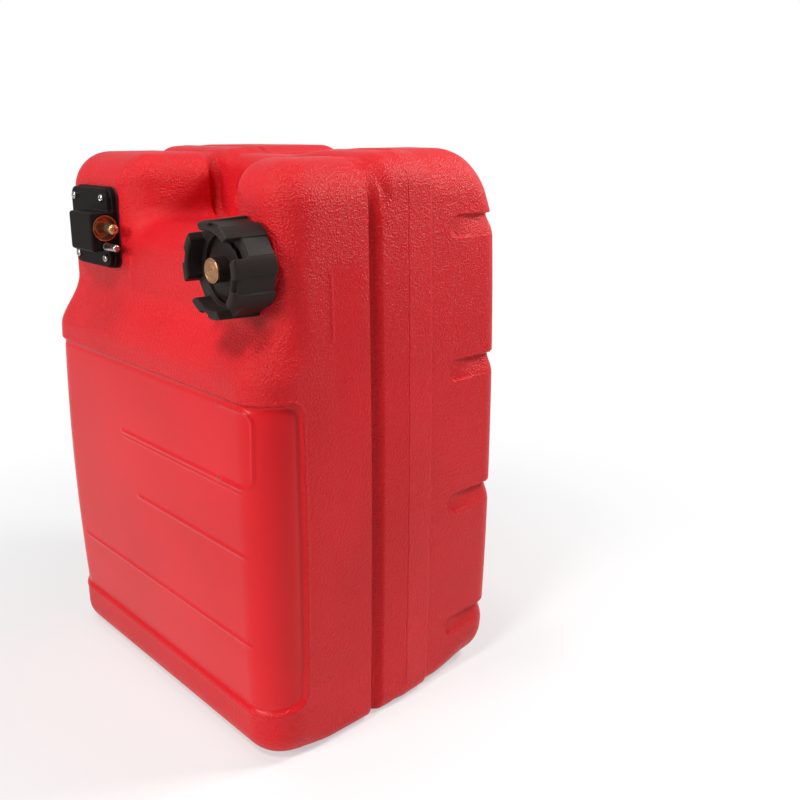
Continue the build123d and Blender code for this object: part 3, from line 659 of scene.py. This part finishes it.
def thread_growth():
    """Tree for a round-crested helical ridge on a neck or in a cap."""
    tree, given = new_growth(
        "moulded_thread",
        Radius="Float",
        Bead="Float",
        Pitch="Float",
        Turns="Float",
        Start="Vector",
        Phase="Vector",
        Centre="Vector",
        Material="Material",
    )
    rise = add_node(
        tree, "ShaderNodeMath", {0: given["Pitch"], 1: given["Turns"]}, operation="MULTIPLY"
    )
    helix = add_node(
        tree,
        "GeometryNodeCurveSpiral",
        {
            "Resolution": 96,
            "Rotations": given["Turns"],
            "Start Radius": given["Radius"],
            "End Radius": given["Radius"],
            "Height": rise.outputs[0],
        },
    )
    section = add_node(
        tree, "GeometryNodeCurvePrimitiveCircle", {"Resolution": 10, "Radius": given["Bead"]}
    )
    ridge_mesh = add_node(
        tree,
        "GeometryNodeCurveToMesh",
        {"Curve": helix.outputs[0], "Profile Curve": section.outputs[0], "Fill Caps": True},
    )
    turned = add_node(
        tree,
        "GeometryNodeTransform",
        {
            "Geometry": ridge_mesh.outputs[0],
            "Rotation": given["Phase"],
            "Translation": given["Start"],
        },
    )
    placed_and_painted(tree, given, turned.outputs[0])
    return tree


def screw_growth():
    """Tree for four screws on the corners of a plate."""
    tree, given = new_growth(
        "plate_screws",
        Across="Float",
        Up="Float",
        Screw="Object",
        Centre="Vector",
        Material="Material",
    )
    corners = add_node(
        tree,
        "GeometryNodeMeshGrid",
        {"Size X": given["Across"], "Size Y": given["Up"], "Vertices X": 2, "Vertices Y": 2},
    )
    shape = add_node(tree, "GeometryNodeObjectInfo", {"Object": given["Screw"]})
    number = add_node(tree, "GeometryNodeInputIndex")
    angle = add_node(
        tree, "ShaderNodeMath", {0: number.outputs[0], 1: 0.7}, operation="MULTIPLY"
    )
    turn = add_node(tree, "ShaderNodeCombineXYZ", {"Z": angle.outputs[0]})
    screws = add_node(
        tree,
        "GeometryNodeInstanceOnPoints",
        {
            "Points": corners.outputs["Mesh"],
            "Instance": shape.outputs["Geometry"],
            "Rotation": turn.outputs[0],
        },
    )
    placed_and_painted(tree, given, screws.outputs[0])
    return tree


def gauze_growth():
    """Tree for a sleeve of woven wire: hoops outside, straight wires inside."""
    tree, given = new_growth(
        "woven_gauze",
        Radius="Float",
        Length="Float",
        Wire="Float",
        Hoops="Int",
        Bars="Int",
        Centre="Vector",
        Material="Material",
    )
    section = add_node(
        tree, "GeometryNodeCurvePrimitiveCircle", {"Resolution": 6, "Radius": given["Wire"]}
    )
    hoop = add_node(
        tree, "GeometryNodeCurvePrimitiveCircle", {"Resolution": 48, "Radius": given["Radius"]}
    )
    hoop_wire = add_node(
        tree,
        "GeometryNodeCurveToMesh",
        {"Curve": hoop.outputs[0], "Profile Curve": section.outputs[0]},
    )
    end = add_node(tree, "ShaderNodeCombineXYZ", {"Z": given["Length"]})
    levels = add_node(
        tree,
        "GeometryNodeMeshLine",
        {"Count": given["Hoops"], "Offset": end.outputs[0]},
        mode="END_POINTS",
    )
    hoops = add_node(
        tree,
        "GeometryNodeInstanceOnPoints",
        {"Points": levels.outputs[0], "Instance": hoop_wire.outputs[0]},
    )
    inner = add_node(
        tree,
        "ShaderNodeMath",
        {0: given["Wire"], 1: -2.0, 2: given["Radius"]},
        operation="MULTIPLY_ADD",
    )
    round_places = add_node(
        tree, "GeometryNodeMeshCircle", {"Vertices": given["Bars"], "Radius": inner.outputs[0]}
    )
    bar = add_node(tree, "GeometryNodeCurvePrimitiveLine", {"End": end.outputs[0]})
    bar_wire = add_node(
        tree,
        "GeometryNodeCurveToMesh",
        {"Curve": bar.outputs[0], "Profile Curve": section.outputs[0], "Fill Caps": True},
    )
    bars = add_node(
        tree,
        "GeometryNodeInstanceOnPoints",
        {"Points": round_places.outputs[0], "Instance": bar_wire.outputs[0]},
    )
    sleeve = add_node(tree, "GeometryNodeJoinGeometry", {"Geometry": hoops.outputs[0]})
    tree.links.new(bars.outputs[0], sleeve.inputs["Geometry"])
    placed_and_painted(tree, given, sleeve.outputs[0])
    return tree


# ---- materials ----
# Blow-moulded high-density polyethylene: the mould's leathery grain on the sides, satin where
# it was polished, and a slow waviness from the cooling of a thick, hollow wall.
red_polyethylene, tree, shader, place = new_material(
    "blow_moulded_polyethylene",
    IOR=1.52,
    Specular_IOR_Level=0.25,
    Specular_Tint=(1.0, 0.9, 0.76, 1.0),
)
grain_mask = add_node(tree, "ShaderNodeAttribute", attribute_name="grain").outputs["Fac"]
blotch = noise(tree, place, 110.0, 2.0)
colour_between(tree, shader, blotch, "#CE101D", "#DA1422", margin=0.3)
cells = add_node(
    tree, "ShaderNodeTexVoronoi", {"Vector": place, "Scale": per_mm(1.6), "Randomness": 1.0}
)
pits = noise(tree, place, 0.9, 2.0)
grain = add_node(
    tree, "ShaderNodeMath", {0: cells.outputs["Distance"], 1: pits}, operation="ADD"
)
height = add_node(
    tree, "ShaderNodeMath", {0: grain.outputs[0], 1: grain_mask}, operation="MULTIPLY"
)
wavy = bumped(tree, noise(tree, place, 38.0, 1.0), 0.3, 0.0006)
leather = bumped(tree, height.outputs[0], 0.7, 0.0009, Normal=wavy)
tree.links.new(leather, shader.inputs["Normal"])
roughness_between(tree, shader, grain_mask, 0.28, 0.36)

# Injection-moulded polypropylene: near black, with a faint spark-eroded texture.
black_polypropylene, tree, shader, place = new_material(
    "moulded_polypropylene", IOR=1.49, Specular_IOR_Level=0.12
)
fleck = noise(tree, place, 0.7, 3.0)
colour_between(tree, shader, fleck, "#1F1917", "#352B27")
tree.links.new(bumped(tree, fleck, 0.22, 0.0002), shader.inputs["Normal"])
roughness_between(tree, shader, fleck, 0.36, 0.48)

# Glass-filled nylon: duller than the cap, with the short fibres showing as fine streaks.
black_nylon, tree, shader, place = new_material(
    "glass_filled_nylon", IOR=1.53, Specular_IOR_Level=0.06
)
streaks = add_node(tree, "ShaderNodeMapping", {"Vector": place, "Scale": (1.0, 1.0, 4.0)})
fibre = noise(tree, streaks.outputs[0], 2.2, 4.0)
colour_between(tree, shader, fibre, "#100D0C", "#1D1816")
tree.links.new(bumped(tree, fibre, 0.2, 0.0002), shader.inputs["Normal"])
roughness_between(tree, shader, fibre, 0.38, 0.55)

# Nitrile rubber: soft black, with a dusty bloom.
black_rubber, tree, shader, place = new_material("nitrile_rubber", IOR=1.52)
bloom = noise(tree, place, 3.0, 4.0)
colour_between(tree, shader, bloom, "#141312", "#24211F")
roughness_between(tree, shader, bloom, 0.55, 0.75)


def turned_brass(name, axis_point, keep):
    """Brass from the lathe: fine rings around the turning axis, and a little tarnish."""
    material, tree, shader, place = new_material(name, Metallic=1.0)
    centred = add_node(
        tree,
        "ShaderNodeVectorMath",
        {0: place, 1: axis_point},
        operation="SUBTRACT",
    )
    flat = add_node(
        tree,
        "ShaderNodeVectorMath",
        {0: centred.outputs[0], 1: keep},
        operation="MULTIPLY",
    )
    radius = add_node(tree, "ShaderNodeVectorMath", {0: flat.outputs[0]}, operation="LENGTH")
    # Real tool marks are about 0.1 mm apart, too fine to show, so they are drawn at 1.2 mm.
    turns = add_node(
        tree,
        "ShaderNodeMath",
        {0: radius.outputs["Value"], 1: 2.0 * math.pi * per_mm(1.2)},
        operation="MULTIPLY",
    )
    rings = add_node(tree, "ShaderNodeMath", {0: turns.outputs[0]}, operation="SINE")
    tree.links.new(bumped(tree, rings.outputs[0], 0.5, 0.0001), shader.inputs["Normal"])
    stain = noise(tree, place, 5.0, 3.0)
    colour_between(tree, shader, stain, "#B0825C", "#C4966E", margin=0.35)
    roughness_between(tree, shader, stain, 0.26, 0.4)
    return material


vent_brass = turned_brass(
    "turned_brass_vent", (cap_x * MM, 0.0, cap_z * MM), (1.0, 0.0, 1.0)
)
nipple_brass = turned_brass("turned_brass_nipple", (0.0, -0.121, 0.415), (0.0, 1.0, 1.0))

# Zinc-plated steel: bright, cool, with a slightly cloudy passivated skin.
bright_steel, tree, shader, place = new_material("zinc_plated_steel", Metallic=1.0)
cloud = noise(tree, place, 2.5, 3.0)
colour_between(tree, shader, cloud, "#98958F", "#C9C7C2")
roughness_between(tree, shader, cloud, 0.2, 0.34)

# Natural polyethylene: milky, faintly see-through tube and strainer cage.
pale_polyethylene, tree, shader, place = new_material(
    "natural_polyethylene", IOR=1.51, Subsurface_Weight=0.15
)
haze = noise(tree, place, 9.0, 2.0)
colour_between(tree, shader, haze, "#DAD5C6", "#EDEAE0")
roughness_between(tree, shader, haze, 0.34, 0.46)

nodes_by_material = (
    (red_polyethylene, ("tank_shell",)),
    (black_polypropylene, ("cap_shell", "vent_grip")),
    (black_nylon, ("connector_housing",)),
    (black_rubber, ("cap_gasket", "vent_oring", "outlet_gasket", "nipple_oring")),
    (vent_brass, ("vent_bushing", "vent_screw")),
    (nipple_brass, ("insert_nuts", "nipple_cup", "fuel_nipple")),
    (nipple_brass, ("check_plunger", "spring_seat", "pickup_barb")),
    (bright_steel, ("vent_retainer", "housing_screws", "check_spring")),
    (bright_steel, ("guide_pin", "tube_clamp", "strainer_mesh")),
    (pale_polyethylene, ("pickup_tube", "strainer_frame")),
)
for material, names in nodes_by_material:
    for name in names:
        nodes[name].data.materials.clear()
        nodes[name].data.materials.append(material)

# ---- tank shell ----
slot_edges = [
    (slot_first + slot_pitch * number + slot_height / 2 * edge, 2, 1.6)
    for number in range(4)
    for edge in (-1, 1)
]
handle_left = handle_x - handle_half_width
handle_right = handle_x + handle_half_width
tank_lines = (
    grid_lines(-184.0, 184.0, 5.8, [
        (valley_left, 8, 2.9), (valley_right, 8, 2.9), (panel_end_x, 3, 1.45), (-52, 2, 1.35),
        (handle_left, 4, 2.7), (handle_right, 4, 2.7), (-165, 14, 3.8), (165, 14, 3.8),
    ]),
    grid_lines(-135.0, 135.0, 5.4, [
        (-95, 4, 1.35), (-65, 2, 1.35), (groove_y, 3, 1.2), (-16, 6, 2.2), (parting_y, 1.6, 0.4),
        (back_y, 3, 1.1), (slot_start, 4, 2.0), (-118, 12, 3.4), (118, 10, 3.6),
    ]),
    grid_lines(-4.0, 488.0, 5.8, [
        (44, 6, 1.7), (104, 2.5, 1.1), (181, 2.5, 1.1), (235, 5, 1.15), (298, 2.5, 1.1),
        (305, 4, 1.45), (340, 20, 3.8), (427, 8, 2.9), (455, 5, 2.7), (471, 10, 2.9), (8, 6, 3.4),
        *slot_edges,
    ]),
)
mesh, points = skin_mesh("tank_shell.skin", tank_form, tank_lines, 0.05)
depth_in_panel = -front_panel(points[:, 1], points[:, 2])
on_right_side = points[:, 0] > panel_end_x
depth_in_field = np.where(on_right_side, -side_panel(points[:, 1], points[:, 2]), -9.0)
smooth = np.maximum(ease(depth_in_panel / 3.0), 0.4 * ease(depth_in_field / 8.0))
grain_values = mesh.attributes.new("grain", "FLOAT", "POINT")
grain_values.data.foreach_set("value", 1.0 - 0.9 * smooth)
piece_from(
    "tank_shell.skin", mesh, "tank", red_polyethylene, ["tank_shell"]
)

# ---- cap ----
cap_lines = (
    grid_lines(cap_x - 38.5, cap_x + 38.5, 0.85),
    grid_lines(head_y - 39.0, head_y + 0.5, 0.8),
    grid_lines(cap_z - 38.5, cap_z + 38.5, 0.85),
)
mesh, _ = skin_mesh("cap_shell.petals", cap_form, cap_lines, 0.02)
piece_from("cap_shell.petals", mesh, "cap", black_polypropylene, ["cap_shell"])

# ---- vent screw ----
vent_lines = (
    grid_lines(cap_x - 9.6, cap_x + 9.6, 0.27),
    grid_lines(head_y - 34.2, head_y - 9.2, 1.2, [
        (head_y - 33.2, 1.2, 0.2), (head_y - 31.6, 0.3, 0.2), (head_y - vent_cross_hole, 0.8, 0.27),
    ]),
    grid_lines(cap_z - 9.6, cap_z + 9.6, 0.27),
)
mesh, _ = skin_mesh("vent_screw.turned", vent_form, vent_lines, 0.01)
piece_from("vent_screw.turned", mesh, "vent", vent_brass, ["vent_screw"])

# ---- connector housing ----
housing_lines = (
    grid_lines(connector_x - 38.0, connector_x + 38.0, 1.0),
    grid_lines(head_y - 29.0, head_y + 1.0, 0.7),
    grid_lines(connector_z - 38.0, connector_z + 38.0, 1.0),
)
mesh, _ = skin_mesh("connector_housing.body", housing_form, housing_lines, 0.02)
piece_from(
    "connector_housing.body", mesh, "tank", black_nylon, ["connector_housing"]
)

# ---- screws of the connector ----
screw_lines = (
    grid_lines(-3.8, 3.8, 0.3),
    grid_lines(-3.8, 3.8, 0.3),
    grid_lines(-18.6, 2.8, 1.6, [(1.2, 1.3, 0.25)]),
)
screw_mesh, _ = skin_mesh("pan_head_screw", screw_form, screw_lines, 0.02)
screw_pattern = bpy.data.objects.new("pan_head_screw", screw_mesh)
mesh = grown_mesh(
    "housing_screws.pan_heads",
    screw_growth(),
    Across=screw_pitch_x * MM,
    Up=screw_pitch_z * MM,
    Screw=screw_pattern,
    Centre=(connector_x * MM, (head_y - plate_front) * MM, connector_z * MM),
    Material=bright_steel,
)
bpy.data.objects.remove(screw_pattern)
piece_from("housing_screws.pan_heads", mesh, "tank", bright_steel, ["housing_screws"])

# ---- threads of neck and cap: each rides on its own side of the joint ----
thread_tree = thread_growth()
cap_centre = (cap_x * MM, head_y * MM, cap_z * MM)
neck_thread_radius = 28.4
for name, body, slot, material, radius, bead, phase in (
    (
        "tank_shell.neck_thread",
        "tank",
        "red_polyethylene",
        red_polyethylene,
        neck_thread_radius,
        1.1,
        0.0,
    ),
    (
        "cap_shell.inner_thread",
        "cap",
        "black_plastic",
        black_polypropylene,
        skirt_bore,
        0.9,
        math.pi,
    ),
):
    mesh = grown_mesh(
        name,
        thread_tree,
        Radius=radius * MM,
        Bead=bead * MM,
        Pitch=thread_pitch * MM,
        Turns=thread_turns,
        Start=(0.0, 0.0, thread_start * MM),
        Phase=(0.0, 0.0, phase),
        Centre=cap_centre,
        Material=material,
    )
    piece_from(name, mesh, body, material)

# ---- gauze of the strainer ----
mesh = grown_mesh(
    "strainer_mesh.wires",
    gauze_growth(),
    Radius=7.4 * MM,
    Length=strainer_length * MM,
    Wire=0.16 * MM,
    Hoops=15,
    Bars=40,
    Centre=(
        connector_x * MM,
        (head_y - strainer_start + strainer_length) * MM,
        (connector_z + cup_z) * MM,
    ),
    Material=bright_steel,
)
piece_from("strainer_mesh.wires", mesh, "tank", bright_steel, ["strainer_mesh"])


# ---- stage ----
light_target = Vector((0.05, 0.0, 0.27))


def straight_view(tree):
    """1 for what is seen directly or through clear plastic, half for a gloss, else 0."""
    ray = add_node(tree, "ShaderNodeLightPath")
    gloss = add_node(
        tree,
        "ShaderNodeMath",
        {0: ray.outputs["Is Glossy Ray"], 1: 0.5, 2: ray.outputs["Is Camera Ray"]},
        operation="MULTIPLY_ADD",
    )
    clear = add_node(
        tree,
        "ShaderNodeMath",
        {0: gloss.outputs[0], 1: ray.outputs["Is Transmission Ray"]},
        operation="MAXIMUM",
    )
    return clear.outputs[0]


floor_reach = 9
floor_corners = [
    (-floor_reach, -floor_reach, 0),
    (floor_reach, -floor_reach, 0),
    (floor_reach, floor_reach, 0),
    (-floor_reach, floor_reach, 0),
]
floor_mesh = bpy.data.meshes.new("floor")
floor_mesh.from_pydata(floor_corners, [], [(0, 1, 2, 3)])
floor = bpy.data.objects.new("floor", floor_mesh)
scene.collection.objects.link(floor)
floor_paint, tree, shader, place = new_material("pale_floor", Roughness=0.9)
shader.inputs["Base Color"].default_value = linear("#F2F2F2")
away = add_node(tree, "ShaderNodeVectorMath", {0: place}, operation="LENGTH")
fade = add_node(
    tree,
    "ShaderNodeMapRange",
    {"Value": away.outputs["Value"], "From Min": 0.2, "From Max": 0.75, "To Min": 0.5},
    interpolation_type="SMOOTHSTEP",
)
seen = add_node(
    tree,
    "ShaderNodeMath",
    {0: fade.outputs[0], 1: straight_view(tree)},
    operation="MULTIPLY",
)
white = add_node(tree, "ShaderNodeEmission", {"Color": linear("#FFFFFF"), "Strength": 1.0})
mix = add_node(
    tree,
    "ShaderNodeMixShader",
    {0: seen.outputs[0], 1: shader.outputs[0], 2: white.outputs[0]},
)
tree.links.new(mix.outputs[0], tree.nodes["Material Output"].inputs["Surface"])
floor_mesh.materials.append(floor_paint)

world = bpy.data.worlds.new("studio")
scene.world = world
world.use_nodes = True
tree = world.node_tree
level = add_node(
    tree,
    "ShaderNodeMapRange",
    {"Value": straight_view(tree), "To Min": 0.08, "To Max": 1.0},
)
air = tree.nodes["Background"]
air.inputs["Color"].default_value = linear("#FFFFFF")
tree.links.new(level.outputs[0], air.inputs["Strength"])


def soft_light(name, place, size, power):
    """A square soft light that points at the middle of the tank."""
    data = bpy.data.lights.new(name, "AREA")
    data.shape = "SQUARE"
    data.size = size
    data.energy = power
    light = bpy.data.objects.new(name, data)
    light.location = place
    aim = light_target - Vector(place)
    light.rotation_euler = aim.to_track_quat("-Z", "Y").to_euler()
    light.visible_camera = False
    scene.collection.objects.link(light)


soft_light("key", (-0.15, -2.0, 0.95), 0.5, 20.0)
soft_light("ceiling", (-0.2, -0.2, 2.3), 0.4, 9.0)
soft_light("side_ceiling", (0.36, -0.75, 1.35), 0.25, 8.5)
soft_light("rear_side", (0.56, 0.72, 0.95), 0.3, 10.0)

# The camera stands near the cap's corner and a little above the tank, looking slightly down.
camera_data = bpy.data.cameras.new("camera")
camera_data.lens = 41.2
camera_data.sensor_width = 36.0
camera_data.shift_x = 0.0099
camera_data.shift_y = -0.0339
camera = bpy.data.objects.new("camera", camera_data)
camera.location = (0.69805, -0.48691, 0.49965)
camera.rotation_euler = Euler((math.radians(75.06), 0.0, math.radians(47.13)))
scene.collection.objects.link(camera)
scene.camera = camera
scene.view_settings.view_transform = "Standard"
